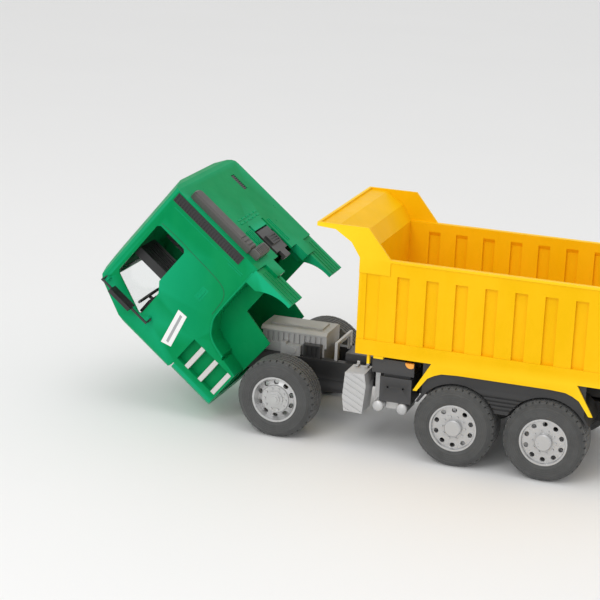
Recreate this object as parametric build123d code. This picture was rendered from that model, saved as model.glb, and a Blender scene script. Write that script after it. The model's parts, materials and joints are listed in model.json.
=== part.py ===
"""Toy dump truck with a tipping cab and a rear-tipping tub, about 1:16 scale.

Millimetres, +Z up.  The truck faces -X and its left side is -Y.  Sub-parts are drawn with x = 0 on the
front axle, the axles at AXLE_Z and the cab closed; the cab is then swung forward to its rest pose, and
the whole truck is moved so that it stands on z = 0 with its box centred over the origin.
"""

import math
import os

from build123d import *

# ---------------------------------------------------------------- driving dimensions
FIT_GAP = 0.06            # radial clearance of every running fit
BODY_GAP = 0.5            # clearance between bodies that pass each other

TUB_LENGTH = 282.6        # tub floor, front wall to rear edge
TUB_HEIGHT = 99.3         # tub side, rail bottom to rim top
TUB_HALF_WIDTH = 86.0
TUB_FRONT = 82.4          # front wall of the tub behind the front axle
TUB_BOTTOM = 100.4
TIPPER_PIN_RADIUS = 3.0
TAILGATE_PIN_RADIUS = 2.0
TIPPER_PIN_INSET = 25.0   # tipper pin ahead of the tub's rear edge
TIPPER_PIN_Z = 90.0

TYRE_RADIUS = 41.0
RIM_RADIUS = 24.0
AXLE_RADIUS = 2.5
AXLE_INSET = 3.0          # axle end behind the tyre's outer face
BOGIE_SPACING = 91.1      # between the two rear axles
REAR_OVERHANG = 85.2      # rearmost axle to the tub's rear edge
FRONT_TYRE_WIDTH = 36.0
REAR_TYRE_WIDTH = 38.0
FRONT_WHEEL_FACE = 91.0   # outer face of the front tyres from the centre line
REAR_WHEEL_FACE = 92.6
TREAD_BEVEL = 4.0         # shoulder at each side of the tread
TREAD_GROOVES = 4
TREAD_GROOVE = 1.4        # width and depth of a groove
RIM_TRIM = 3.6            # how much narrower a rim is than its tyre
RIM_INNER_RADIUS = 21.6
HUB_RADIUS = 5.6
NUT_COUNT = 10
FRONT_VENT = (5.6, 4.2, 17.6)    # length, width and distance from the axle of a front rim's vent
REAR_VENT = (5.2, 4.6, 18.2)
FRONT_NUT = (1.25, 11.4)         # nut radius and bolt-circle radius
REAR_NUT = (1.2, 11.6)

CAB_HALF_WIDTH = 79.0
CAB_WALL = 2.2
CAB_TILT = 51.0           # degrees the cab leans forward at rest
CAB_PIN_RADIUS = 3.0
CAB_PIN_X = -77.6
CAB_PIN_Z = 44.5
PIVOT_BLOCK_HALF = 9.0
LATCH_PIN_RADIUS = 1.6
LATCH_X = 46.0
LATCH_Z = 118.0
MIRROR_PIN_RADIUS = 1.2
MIRROR_X = -75.0
MIRROR_OFFSET = 3.4       # mirror hinge axis outside the cab side

# ---------------------------------------------------------------- derived positions
TUB_REAR = TUB_FRONT + TUB_LENGTH
TUB_TOP = TUB_BOTTOM + TUB_HEIGHT
TIPPER_PIN_X = TUB_REAR - TIPPER_PIN_INSET
REAR_AXLE_2 = TUB_REAR - REAR_OVERHANG
REAR_AXLE_1 = REAR_AXLE_2 - BOGIE_SPACING
FRAME_REAR = TUB_REAR - 13.0
AXLE_Z = 39.0

# ---------------------------------------------------------------- chassis sections
RAIL_IN = 22.0
RAIL_OUT = 30.0
RAIL_BOTTOM = 48.0
RAIL_TOP = 68.0
RAIL_FRONT = -84.6
AXLE_BLOCK_OUT = 50.0
EAR_RADIUS = 7.0
PAD_GAP = 0.3             # daylight between the tub's beams and their rest pads
BEAM_BOTTOM = 72.0
ENGINE = (-42.0, 31.0)    # engine block from front to back
ENGINE_TOP = 94.0
ENGINE_HALF_WIDTH = 21.0
HEAD_HEIGHT = 13.0        # finned head under the engine's cover
FIN_COUNT = 11
FIN_DEPTH = 1.6
COVER_THICKNESS = 4.0
LID_HALF_WIDTH = 11.0
FRAME_FLOOR = 3.0         # floor plate between the rails
LINER_OUT = 83.3          # outer edge of the black wheel liners
LINER_INNER_RADIUS = 43.5
LINER_THICKNESS = 2.5
LINER_BOTTOM = 58.0
LINER_TOP = TUB_BOTTOM - BODY_GAP
LINER_REACH = 36.0        # liner wall beyond the rear axles
DECK = (98.0, 142.0)      # outrigger deck ahead of the rear wheels
DECK_OUT = 76.0
DECK_Z = 80.0
DECK_THICKNESS = 3.0
AIR_TANK_X = (106.8, 131.9)
AIR_TANK_Z = 45.7
AIR_TANK_RADIUS = 5.8
AIR_TANK_OUT = 78.0
TANK_SIDE = [(72.0, 77.5), (92.5, 78.0), (94.4, 66.0), (91.5, 36.0), (72.0, 36.5), (70.0, 52.0)]
TANK_Y = (-83.0, -54.6)   # outer and inner face of the fuel tank
TANK_BANDS = 7
TANK_BAND_PITCH = 6.6
SIDE_LAMP_RADIUS = 5.4
SIDE_LAMP_Z = 95.0
SCREW_RADIUS = 1.2
SCREW_LENGTH = 12.0
SCREW_HEAD_RADIUS = 2.4

# ---------------------------------------------------------------- cab profiles, cab closed
CAB_REAR = 52.7
CAB_SIDE = [
    (52.7, 84.0), (52.7, 199.0), (51.0, 204.5), (47.0, 209.5), (38.6, 212.6), (0.0, 213.2), (-40.0, 212.5),
    (-66.0, 209.6), (-79.5, 202.5), (-105.4, 143.3), (-107.0, 127.6), (-104.4, 87.3), (-95.0, 84.0),
]
CAB_PLAN = [
    (53.2, CAB_HALF_WIDTH), (-98.0, CAB_HALF_WIDTH), (-101.4, CAB_HALF_WIDTH - 4.0),
    (-104.2, CAB_HALF_WIDTH - 19.0), (-106.2, 34.0), (-107.0, 0.0),
]
CAB_SECTION = [
    (CAB_HALF_WIDTH, 20.0), (CAB_HALF_WIDTH, 194.0), (CAB_HALF_WIDTH - 1.0, 198.6),
    (CAB_HALF_WIDTH - 4.0, 202.0), (CAB_HALF_WIDTH - 12.0, 205.2), (40.0, 210.6), (20.0, 212.7),
    (0.0, 213.4),
]
SIDE_WINDOW = [
    (-77.6, 143.3), (-79.3, 146.0), (-63.0, 188.0), (-59.5, 191.1), (7.0, 191.1), (10.0, 188.0),
    (10.0, 154.7), (7.0, 151.7), (-36.0, 151.7), (-41.5, 147.5), (-46.5, 144.0), (-52.0, 143.3),
]
WINDSCREEN = (66.0, 147.0, 194.5)       # half width, bottom and top of the opening
GRILLE = (58.0, 94.0, 122.0)            # half width, bottom and top of the opening
ARCH = [(-20.0, 84.3), (-22.4, 84.3), (-33.1, 77.1), (-37.5, 74.2), (-41.6, 66.7), (-45.0, 51.0),
        (-49.9, 48.8), (-48.3, 46.6), (-51.3, 30.6), (-52.0, 27.6)]
STEP_FRONT = -91.4
STEP_BOTTOM = 27.6
WELL_TOP = 84.0                         # underside of the wheel wells' roof
WELL_WALL = (51.5, 53.5)                # inner wall of the wheel wells
WELL_WALL_SIDE = [(-91.4, 27.6), (-9.8, 25.5), (-2.0, 66.0), (46.0, 66.0), (46.0, 86.2), (-91.4, 86.2)]
CAB_FLOOR = 130.0
HOOD_TOP = 150.0                        # top of the instrument hood
STEERING_WHEEL = (-77.0, -40.0, 155.0)
STEERING_RADIUS = 12.5
BUMPER_PLAN = [
    (-91.4, CAB_HALF_WIDTH), (-96.5, CAB_HALF_WIDTH - 1.5), (-101.5, CAB_HALF_WIDTH - 8.0),
    (-104.8, CAB_HALF_WIDTH - 21.0), (-106.4, 36.0), (-107.0, 0.0),
]
BUMPER_Z = (27.6, 83.0)
LAMP = (49.0, 71.0, 56.0, 72.0)         # inner and outer edge, bottom and top of a head lamp
STEP_POCKET = (-85.0, -55.0, 30.0, 87.0)
STEP_DEPTH = 7.5
STEP_TOPS = (73.1, 54.0, 35.2)
STEP_HEIGHT = 5.2
RIBBED_STRIP = (41.0, 51.2, 102.4, 196.0)
STRIP_PITCH = 3.4
MUDGUARD_REAR = 50.7
MUDGUARD_INNER = 46.7
MUDGUARD_RADIUS = 47.0                  # arc round the front wheel with the cab closed
MUDGUARD_BOTTOM = 34.6
MUDGUARD_GROOVES = 4
SNORKEL = (55.0, 71.0, 104.3, 187.0)
BELLOWS = (38.0, 68.0, 92.6, 104.3)
RECESS = (21.0, 70.0, 120.0)             # half width, bottom and top of the latch recess
RECESS_NOTCH = (16.5, 128.0)             # inner edge and top of the notches at its upper corners
LATCH_PLATE_HALF = 15.5
LATCH_PLATE_BOTTOM = 88.0
BACK_SLOT = (40.0, 49.0, 165.0, 186.0)    # shallow slot at the upper right of the cab's back
HOOK = (7.0, 79.0, 82.3)                 # half width, bottom and top of the latch hook

# ---------------------------------------------------------------- tub details
TUB_WALL = 6.4            # rib outside to tub inside
RAIL_HEIGHT = 15.5
RIM_HEIGHT = 15.6
RIB_PITCH = 29.6
RECESS_WIDTH = 12.4
RECESS_DEPTH = 3.2
SHEET = 2.4               # moulded wall thickness
FIRST_RECESS = 39.4       # first deep recess behind the front wall
LIP_REACH = 45.6          # canopy tip ahead of the front wall
LIP_RISE = 30.4           # canopy tip above the rim
SKIRT_SIDE = [
    (-27.3, 0.0), (-44.7, -30.2), (-40.7, -30.2), (-30.4, -15.8), (-23.7, -11.9), (-16.5, -9.2),
    (0.0, -8.2),
]
SKIRT_THICKNESS = 2.2
CHEEK_REACH = 32.0        # side cheek behind the front wall
FLOOR_THICKNESS = 3.6     # tub floor and front wall
END_PANEL = (7.9, 21.5)   # wide shallow panel behind the front wall


# ---------------------------------------------------------------- drawing helpers
def block(x0, x1, y0, y1, z0, z1):
    """Box between two corners."""
    return Pos((x0 + x1) / 2, (y0 + y1) / 2, (z0 + z1) / 2) * Box(abs(x1 - x0), abs(y1 - y0), abs(z1 - z0))


def face_of(points):
    """Flat face inside a closed polygon drawn in its own x, y."""
    return make_face(Polyline(*points, close=True))


def upward(flat, height):
    """Face lifted into a prism along its drawing plane's positive Z."""
    return extrude(flat, amount=height, dir=(0, 0, 1))


def side_prism(points, y0, y1):
    """Polygon drawn in X and Z, extruded from y0 to y1."""
    return Pos(0, y1, 0) * Plane.XZ.location * upward(face_of(points), y1 - y0)


def end_prism(points, x0, x1):
    """Polygon drawn in Y and Z, extruded from x0 to x1."""
    return Pos(x0, 0, 0) * Plane.YZ.location * upward(face_of(points), x1 - x0)


def rod(x, z, radius, y0, y1):
    """Cylinder along Y."""
    return Pos(x, (y0 + y1) / 2, z) * Rot(90, 0, 0) * Cylinder(radius, abs(y1 - y0))


def post(x, y, radius, z0, z1):
    """Cylinder along Z."""
    return Pos(x, y, (z0 + z1) / 2) * Cylinder(radius, z1 - z0)


def turned(points):
    """Solid turned about the Y axis from (radius, y) points."""
    return revolve(face_of(points), axis=Axis.Y)


def to_right(shape):
    """Same shape on the truck's right side."""
    return mirror(shape, about=Plane.XZ)


def both(shape):
    """Left shape together with its right twin."""
    return shape + to_right(shape)


def inset(points, distance):
    """Polygon drawn inwards by a distance."""
    flat = face_of(points)
    return offset(flat, amount=-distance, kind=Kind.INTERSECTION) if distance else flat


def mirrored_outline(points):
    """Half outline in Y closed over the centre line."""
    return points + [(x, -y) for x, y in reversed(points) if y]


# ---------------------------------------------------------------- wheels
def tyre(face_y, width):
    """Left tyre with grooves round the tread and notched shoulders."""
    bevel = TREAD_BEVEL
    inner_y = -face_y + width
    section = [
        (RIM_RADIUS, -face_y + 1.5), (RIM_RADIUS + 3, -face_y), (TYRE_RADIUS - bevel - 2, -face_y),
        (TYRE_RADIUS - 0.8, -face_y + bevel), (TYRE_RADIUS, -face_y + bevel + 1.5),
        (TYRE_RADIUS, inner_y - bevel - 1.5), (TYRE_RADIUS - 0.8, inner_y - bevel),
        (TYRE_RADIUS - bevel - 2, inner_y), (RIM_RADIUS + 3, inner_y), (RIM_RADIUS, inner_y - 1.5),
    ]
    body = turned(section)
    pitch = (width - 2 * bevel - 3) / (TREAD_GROOVES + 1)
    for i in range(1, TREAD_GROOVES + 1):
        y = -face_y + bevel + 1.5 + i * pitch
        ring = rod(0, 0, TYRE_RADIUS + 1, y - TREAD_GROOVE / 2, y + TREAD_GROOVE / 2)
        body -= ring - rod(0, 0, TYRE_RADIUS - TREAD_GROOVE, y - 2, y + 2)
    notch = Pos(TYRE_RADIUS, -face_y + bevel, 0) * Box(3.4, 4.5, 1.3)
    far_notch = Pos(TYRE_RADIUS, inner_y - bevel, 0) * Box(3.4, 4.5, 1.3)
    notches = Compound([Rot(0, a, 0) * n for n in (notch, far_notch) for a in range(0, 360, 10)])
    return body - notches


def rim_details(body, lip, vent, nut, nut_height):
    """Rim with its ring of vents cut and its ring of wheel nuts added."""
    length, width, vent_circle = vent
    nut_radius, nut_circle = nut
    step = 360 / NUT_COUNT
    hole = extrude(SlotOverall(length, width, rotation=90), 9, both=True)
    for i in range(NUT_COUNT):
        body -= Rot(0, step * (i + 0.5), 0) * Pos(vent_circle, lip + 5, 0) * Rot(90, 0, 0) * hole
        nut_place = Pos(nut_circle, lip + nut_height, 0)
        body += Rot(0, step * i, 0) * nut_place * Rot(90, 0, 0) * Cylinder(nut_radius, 2)
    return body


def front_rim(face_y):
    """Left front rim: dished ring with oval vents, ten nuts and a stepped hub."""
    lip = -face_y + 0.8
    axle_end = -face_y + AXLE_INSET
    inner = lip + FRONT_TYRE_WIDTH - RIM_TRIM
    section = [
        (0, axle_end), (0, lip - 1.0), (3.4, lip - 1.0), (3.4, lip), (HUB_RADIUS, lip),
        (HUB_RADIUS, lip + 1.4),
        (8.4, lip + 1.4), (8.4, lip + 2.6), (14.2, lip + 2.6), (15.0, lip + 4.0), (19.6, lip + 6.0),
        (21.2, lip + 2.4), (22.0, lip), (RIM_RADIUS, lip), (RIM_RADIUS, inner), (RIM_INNER_RADIUS, inner),
        (RIM_INNER_RADIUS, lip + 9.0), (HUB_RADIUS, lip + 6.6), (HUB_RADIUS, lip + 14.0),
        (AXLE_RADIUS, lip + 14.0), (AXLE_RADIUS, axle_end),
    ]
    return rim_details(turned(section), lip, FRONT_VENT, FRONT_NUT, 2.1)


def rear_rim(face_y):
    """Left rear rim: flat disc with round vents near the edge, ten nuts and a tall hub cap."""
    lip = -face_y + 1.0
    axle_end = -face_y + AXLE_INSET
    inner = lip + REAR_TYRE_WIDTH - RIM_TRIM
    section = [
        (0, axle_end), (0, lip - 1.6), (7.6, lip - 1.6), (8.6, lip - 0.6), (8.6, lip + 3.0),
        (21.4, lip + 3.0),
        (22.2, lip), (RIM_RADIUS, lip), (RIM_RADIUS, inner), (RIM_INNER_RADIUS, inner),
        (RIM_INNER_RADIUS, lip + 6.0), (HUB_RADIUS, lip + 6.0), (HUB_RADIUS, lip + 16.0),
        (AXLE_RADIUS, lip + 16.0), (AXLE_RADIUS, axle_end),
    ]
    return rim_details(turned(section), lip, REAR_VENT, REAR_NUT, 2.5)


def wheel_axle(face_y):
    """Steel rod carrying the two wheels, ending inside the blind hubs."""
    return rod(0, 0, AXLE_RADIUS, -face_y + AXLE_INSET, face_y - AXLE_INSET)


# ---------------------------------------------------------------- chassis
def chassis_frame():
    """Two rails with a floor between them, axle blocks, pivot ears, outrigger decks and the tow bracket."""
    frame = both(block(RAIL_FRONT, FRAME_REAR, -RAIL_OUT, -RAIL_IN, RAIL_BOTTOM, RAIL_TOP))
    frame += block(-52, FRAME_REAR, -RAIL_IN, RAIL_IN, RAIL_BOTTOM, RAIL_BOTTOM + FRAME_FLOOR)
    frame += block(52.0, 92.0, -20, 20, RAIL_BOTTOM, 76.0)
    frame += block(92.0, FRAME_REAR - 4, -2, 2, RAIL_BOTTOM, RAIL_TOP - 4)
    frame += both(block(100, 112, -29, -22, RAIL_TOP - 1, BEAM_BOTTOM - PAD_GAP))
    for x in (0, REAR_AXLE_1, REAR_AXLE_2):
        frame += block(x - 8, x + 8, -AXLE_BLOCK_OUT, AXLE_BLOCK_OUT, AXLE_Z - 6, RAIL_BOTTOM)
        frame += both(block(x - 8, x + 8, -AXLE_BLOCK_OUT, -RAIL_OUT, RAIL_BOTTOM, RAIL_BOTTOM + 6))
    for x in (REAR_AXLE_1, REAR_AXLE_2, 0):
        frame -= rod(x, AXLE_Z, AXLE_RADIUS + FIT_GAP, -AXLE_BLOCK_OUT - 1, AXLE_BLOCK_OUT + 1)
    frame += both(rod(CAB_PIN_X, CAB_PIN_Z, EAR_RADIUS, -RAIL_OUT, -RAIL_IN))
    frame += block(RAIL_FRONT, RAIL_FRONT + 6, -RAIL_IN, RAIL_IN, RAIL_BOTTOM + 8, RAIL_TOP)
    frame -= rod(CAB_PIN_X, CAB_PIN_Z, CAB_PIN_RADIUS, -RAIL_OUT - 1, RAIL_OUT + 1)
    ear = rod(TIPPER_PIN_X, TIPPER_PIN_Z, EAR_RADIUS, -36, -RAIL_OUT)
    ear += block(TIPPER_PIN_X - 7, TIPPER_PIN_X + 7, -36, -RAIL_OUT, RAIL_BOTTOM, TIPPER_PIN_Z)
    ear -= rod(TIPPER_PIN_X, TIPPER_PIN_Z, TIPPER_PIN_RADIUS, -37, -RAIL_OUT + 1)
    frame += both(ear)
    frame += both(outrigger())
    frame += rear_crossmember()
    for x, y in screw_places():
        frame -= post(x, y, SCREW_RADIUS, RAIL_BOTTOM - 1, RAIL_BOTTOM + SCREW_LENGTH)
    return frame


def outrigger():
    """Left deck over the battery box, with the arm that carries the fuel tank."""
    top = DECK_Z + DECK_THICKNESS
    deck = block(DECK[0], DECK[1], -DECK_OUT, -RAIL_OUT - 0.5, DECK_Z, top)
    deck += block(DECK[0], DECK[1], -DECK_OUT, -DECK_OUT + 2, DECK_Z, SIDE_LAMP_Z)
    deck += block(DECK[0], DECK[1], -52, -50, DECK_Z, top + 9)
    deck += block(DECK[0] + 4, DECK[1] - 4, -RAIL_OUT - 4, -RAIL_OUT, 56.0, top)
    deck += block(76, 90, -54.6, -RAIL_OUT, 52.0, 62.0)
    deck += block(112, 134, -46, -RAIL_OUT, 58.0, 68.0)
    return deck


def rear_crossmember():
    """Rear beam with the two lamp brackets and the bored tow bracket."""
    beam = block(FRAME_REAR - 4, FRAME_REAR, -78, 78, 50.0, 64.0)
    tongue = block(FRAME_REAR, FRAME_REAR + 12, -9, 9, 50.0, 58.0)
    tongue -= post(FRAME_REAR + 6, 0, 3.0, 49.0, 59.0)
    return beam + tongue


def screw_places():
    """Screws that hold the frame's rails, seen from below."""
    return [(x, y) for x in (-60.0, 70.0, REAR_AXLE_1 + BOGIE_SPACING / 2) for y in (-26.0, 26.0)]


def chassis_screws():
    """Six pan-head screws in the rails' underside, as separate solids."""
    screws = []
    for x, y in screw_places():
        head = post(x, y, SCREW_HEAD_RADIUS, RAIL_BOTTOM - 1.6, RAIL_BOTTOM)
        screws.append(head + post(x, y, SCREW_RADIUS, RAIL_BOTTOM - 1, RAIL_BOTTOM + SCREW_LENGTH))
    return Compound(screws)


def cab_pivot_pin():
    """Steel pin the cab swings on, held in the frame's front ears."""
    return rod(CAB_PIN_X, CAB_PIN_Z, CAB_PIN_RADIUS, -46, 46)


def tipper_hinge_pin():
    """Steel pin the tub swings on, held in the frame's rear ears."""
    return rod(TIPPER_PIN_X, TIPPER_PIN_Z, TIPPER_PIN_RADIUS, -38, 38)


def engine_block():
    """Block between the rails with a finned head on top."""
    head_top = ENGINE_TOP - COVER_THICKNESS
    head_bottom = head_top - HEAD_HEIGHT
    half = ENGINE_HALF_WIDTH
    low = block(ENGINE[0] + 4, ENGINE[1] - 2, -RAIL_IN, RAIL_IN, RAIL_BOTTOM + FRAME_FLOOR, head_bottom + 1)
    head = block(ENGINE[0] + 2, ENGINE[1], -half, half, head_bottom, head_top)
    pitch = (ENGINE[1] - ENGINE[0] - 8) / FIN_COUNT
    for i in range(FIN_COUNT):
        x = ENGINE[0] + 7 + i * pitch
        gap = block(x, x + pitch * 0.35, -half - 1, -half + FIN_DEPTH, head_bottom + 1.5, head_top - 1.5)
        head -= both(gap)
    return low + head


def engine_cover():
    """Plate over the engine with bevelled long edges and a shallow lid."""
    low = ENGINE_TOP - COVER_THICKNESS
    edge = ENGINE_HALF_WIDTH + 1
    bevelled = edge - 4
    section = [
        (-edge, low), (edge, low), (edge, low + 1.4), (bevelled, ENGINE_TOP), (-bevelled, ENGINE_TOP),
        (-edge, low + 1.4),
    ]
    half = LID_HALF_WIDTH
    lid = block(ENGINE[0] + 8, ENGINE[1] - 8, -half, half, ENGINE_TOP - 1, ENGINE_TOP + 1.6)
    return end_prism(section, ENGINE[0], ENGINE[1]) + lid


def alternator():
    """Silver auxiliary housing on the left of the engine, standing on the rail."""
    body = block(-17, -11, -28.5, -RAIL_IN, RAIL_TOP, 81.0)
    body += block(-11, 5, -29, -RAIL_IN, RAIL_TOP, 79.0)
    return body + rod(-3, 73.5, 3.4, -30, -28)


def air_intake_box():
    """Black ribbed box on the rail behind the alternator."""
    body = block(8, 27, -29, -RAIL_IN, RAIL_TOP, 82.0)
    for x in (12.0, 17.0, 22.0):
        body -= block(x, x + 1.2, -30, -28, RAIL_TOP + 2, 80.0)
    return body


def latch_catch():
    """Silver bar on two posts that the cab's latch hooks under."""
    bar = block(41.5, 44.5, -20, 20, 83.0, 87.0)
    return bar + both(block(41.5, 44.5, -RAIL_IN - 3, -18, RAIL_TOP, 87.0))


def gearbox():
    """Gearbox under the frame behind the engine."""
    body = block(26, 62, -26, 26, 31.0, RAIL_BOTTOM)
    return body - both(block(25, 63, -27, -20, 30.0, 37.0))


def fuel_tank():
    """Tank slung outside the left rail, its outer face scored with slanting bands."""
    outer, inner = TANK_Y
    tank = side_prism(TANK_SIDE, outer, inner)
    for i in range(TANK_BANDS):
        z = TANK_SIDE[3][1] + TANK_BAND_PITCH * i
        tank -= Pos(82, outer - 0.2, z) * Rot(0, 27, 0) * Box(34, 1.8, 1.5)
    return tank


def fuel_tank_straps():
    """Two silver straps round the tank's inner end."""
    straps = []
    for x in (76.0, 86.0):
        straps.append(block(x, x + 3, -62.0, -54.6, 78.0, 79.4) + block(x, x + 3, -56.0, -54.6, 79.0, 82.0))
    return Compound(straps)


def battery_box():
    """Black box below the left deck with two moulded sockets."""
    body = block(107.5, 140.5, -78, -46, 51.5, 77.5)
    for x in (116.0, 132.0):
        body -= rod(x, 67.0, 1.2, -79, -76)
    return body + block(110, 138, -74, -50, 77.5, 80.0)


def air_tank(x):
    """Domed air tank lying across the truck under the battery box."""
    dome = Pos(x, -AIR_TANK_OUT, AIR_TANK_Z) * scale(Sphere(AIR_TANK_RADIUS), (1, 0.45, 1))
    return rod(x, AIR_TANK_Z, AIR_TANK_RADIUS, -AIR_TANK_OUT, -50.0) + dome


def air_tank_bracket():
    """Silver bracket between the air tanks, with the upright ahead of the battery box."""
    web = block(112.9, 125.8, -70, -58, 42.0, 51.5)
    upright = block(99.5, 104.5, -66, -64, 46.0, 80.0)
    link = block(99.5, 112.9, -66, -64, 46.0, 50.0)
    return web + upright + link - rod(AIR_TANK_X[0], AIR_TANK_Z, AIR_TANK_RADIUS, -80, -50)


def exhaust_silencer():
    """Silencer slung outside the right rail, with its outlet pipe."""
    return rod(82, 57, 14.0, 54.6, 80.0) + rod(88, 50, 3.0, 60, 84)


def wheel_liner():
    """Left black mudguard over both rear wheels, ribbed between them."""
    outer = LINER_INNER_RADIUS + LINER_THICKNESS
    body = block(REAR_AXLE_1, REAR_AXLE_2, -LINER_OUT, -RAIL_OUT, LINER_BOTTOM, 80.0)
    for x in (REAR_AXLE_1, REAR_AXLE_2):
        body += rod(x, AXLE_Z, outer, -LINER_OUT, -RAIL_OUT)
    ends = (REAR_AXLE_1 - outer, REAR_AXLE_2 + outer)
    body = body & block(*ends, -LINER_OUT, -RAIL_OUT, LINER_BOTTOM, AXLE_Z + outer)
    for x in (REAR_AXLE_1, REAR_AXLE_2):
        body -= rod(x, AXLE_Z, LINER_INNER_RADIUS, -LINER_OUT - 1, -RAIL_OUT + 1)
    reach = (REAR_AXLE_1 - LINER_REACH, REAR_AXLE_2 + LINER_REACH)
    wall = block(*reach, -LINER_OUT, -LINER_OUT + LINER_THICKNESS, LINER_BOTTOM + 5, LINER_TOP)
    for x in (REAR_AXLE_1, REAR_AXLE_2):
        wall -= rod(x, AXLE_Z, LINER_INNER_RADIUS + 1, -LINER_OUT - 1, -RAIL_OUT + 1)
    body += wall
    middle = REAR_AXLE_1 + BOGIE_SPACING / 2
    for z in (62.0, 66.0, 70.0, 74.0):
        body -= block(middle - 24, middle + 24, -LINER_OUT - 1, -LINER_OUT + 1.2, z, z + 1.6)
    return body - block(middle - 12, middle + 12, -LINER_OUT + 4, -RAIL_OUT - 4, LINER_BOTTOM - 1, 77.0)


def side_lamp():
    """Left orange marker lamp on the deck's edge."""
    x = DECK[1] - 3.5
    lens = rod(x, SIDE_LAMP_Z, SIDE_LAMP_RADIUS, -DECK_OUT - 3.0, -DECK_OUT)
    return lens & block(x - 6, x + 3.5, -90, -70, SIDE_LAMP_Z - 7, SIDE_LAMP_Z)


def tail_lamp():
    """Left rear lamp cluster on the cross member."""
    x = FRAME_REAR
    body = block(x, x + 5, -76, -48, 51.0, 63.0)
    for y in (-67.0, -57.5):
        body -= block(x + 4, x + 6, y - 0.6, y + 0.6, 50.0, 64.0)
    return body


# ---------------------------------------------------------------- cab
def cab_solid(distance, bottom):
    """Closed cab body drawn inwards by a distance, open below down to the given height."""
    long = 400.0
    profile = [(x, bottom if z < CAB_SIDE[0][1] + 1 else z) for x, z in CAB_SIDE]
    side = Pos(0, long / 2, 0) * Plane.XZ.location * upward(inset(profile, distance), long)
    plan = upward(inset(mirrored_outline(CAB_PLAN), distance), long)
    section = [(y, z) for y, z in CAB_SECTION] + [(-y, z) for y, z in reversed(CAB_SECTION) if y]
    end = Pos(-long / 2, 0, 0) * Plane.YZ.location * upward(inset(section, distance), long)
    return side & plan & end


def cab_shell():
    """Green cab moulding: skin, wheel wells, step boxes, front-wheel mudguards and pivot blocks."""
    shell = cab_solid(0, WELL_TOP) - cab_solid(CAB_WALL, 50.0)
    floor = block(-98, CAB_REAR - 1, -CAB_HALF_WIDTH + 1, CAB_HALF_WIDTH - 1, CAB_FLOOR, CAB_FLOOR + 2)
    shell += floor & cab_solid(1, 50.0)
    shell += both(step_box())
    shell += both(wheel_well())
    shell += both(pivot_block())
    shell += both(front_mudguard())
    shell -= side_prism(SIDE_WINDOW, -CAB_HALF_WIDTH - 1, CAB_HALF_WIDTH + 1)
    for front, (half, low, high) in ((-60, WINDSCREEN), (-90, GRILLE)):
        shell -= block(-120, front, -half, half, low, high)
    half, low, high = RECESS
    shell -= block(CAB_REAR - 6, CAB_REAR + 1, -half, half, low, high)
    notch, notch_top = RECESS_NOTCH
    shell -= both(block(CAB_REAR - 6, CAB_REAR + 1, -half, -notch, low, notch_top))
    y0, y1, z0, z1 = BACK_SLOT
    shell -= block(CAB_REAR - 1.5, CAB_REAR + 1, y0, y1, z0, z1)
    shell += both(latch_lug())
    shell += both(mirror_bracket(193.0)) + both(mirror_bracket(134.0))
    x0, x1, z0, z1 = RIBBED_STRIP
    return shell - both(block(x0, x1, -CAB_HALF_WIDTH - 1, -CAB_HALF_WIDTH + 1, z0, z1))


def step_box():
    """Left lower corner of the cab ahead of the wheel, hollow from below, with the step pocket."""
    outline = [(STEP_FRONT, STEP_BOTTOM), (STEP_FRONT, 88.0)] + [(-20.0, 88.0)] + ARCH[1:]
    hollow = [(STEP_FRONT + 2.2, 20.0), (STEP_FRONT + 2.2, 85.8), (-26.0, 85.8), (-34.5, 79.5), (-39.5, 76.0),
              (-44.0, 67.2), (-47.0, 53.0), (-52.5, 50.5), (-51.0, 46.0), (-53.6, 30.6), (-54.2, 20.0)]
    floor_y = -CAB_HALF_WIDTH + STEP_DEPTH
    box = side_prism(outline, -CAB_HALF_WIDTH, -WELL_WALL[0])
    box -= side_prism(hollow, floor_y + 2.2, -WELL_WALL[1])
    x0, x1, z0, z1 = STEP_POCKET
    return box - block(x0, x1, -CAB_HALF_WIDTH - 1, floor_y, z0, z1)


def wheel_well():
    """Left wheel-well roof and inner wall."""
    roof = block(-30, CAB_REAR, -CAB_HALF_WIDTH, -WELL_WALL[0], WELL_TOP, WELL_TOP + 2.2)
    return roof + side_prism(WELL_WALL_SIDE, -WELL_WALL[1], -WELL_WALL[0])


def pivot_block():
    """Left bored block the cab swings on, tied to the wheel-well wall."""
    half = PIVOT_BLOCK_HALF
    inner = -RAIL_OUT - BODY_GAP
    body = block(CAB_PIN_X - half, CAB_PIN_X + half, -WELL_WALL[0], inner, CAB_PIN_Z - half, CAB_PIN_Z + half)
    return body - rod(CAB_PIN_X, CAB_PIN_Z, CAB_PIN_RADIUS + FIT_GAP, -46.5, -RAIL_OUT)


def front_mudguard():
    """Left mudguard behind the front wheel with grooves down its rear face."""
    rear = MUDGUARD_REAR
    inner = MUDGUARD_INNER
    outer = CAB_HALF_WIDTH + 1.5
    guard = block(34, rear, -outer, -inner, MUDGUARD_BOTTOM, WELL_TOP + 1)
    guard -= rod(0, AXLE_Z, MUDGUARD_RADIUS, -outer - 1, -inner + 1)
    for i in range(1, MUDGUARD_GROOVES + 1):
        y = -outer + i * (outer - inner) / (MUDGUARD_GROOVES + 1)
        guard -= block(rear - 0.8, rear + 1, y - 0.8, y + 0.8, MUDGUARD_BOTTOM - 1, WELL_TOP - 6)
    bracket = block(44, CAB_REAR, -56.5, -35, 66.8, 90.0)
    return guard + bracket


def latch_lug():
    """Left lug inside the back panel that carries the latch pin."""
    lug = block(LATCH_X - 5, CAB_REAR - 1, -24, -18, LATCH_Z - 5, LATCH_Z + 12.5)
    return lug - rod(LATCH_X, LATCH_Z, LATCH_PIN_RADIUS + FIT_GAP, -25, -17)


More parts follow.
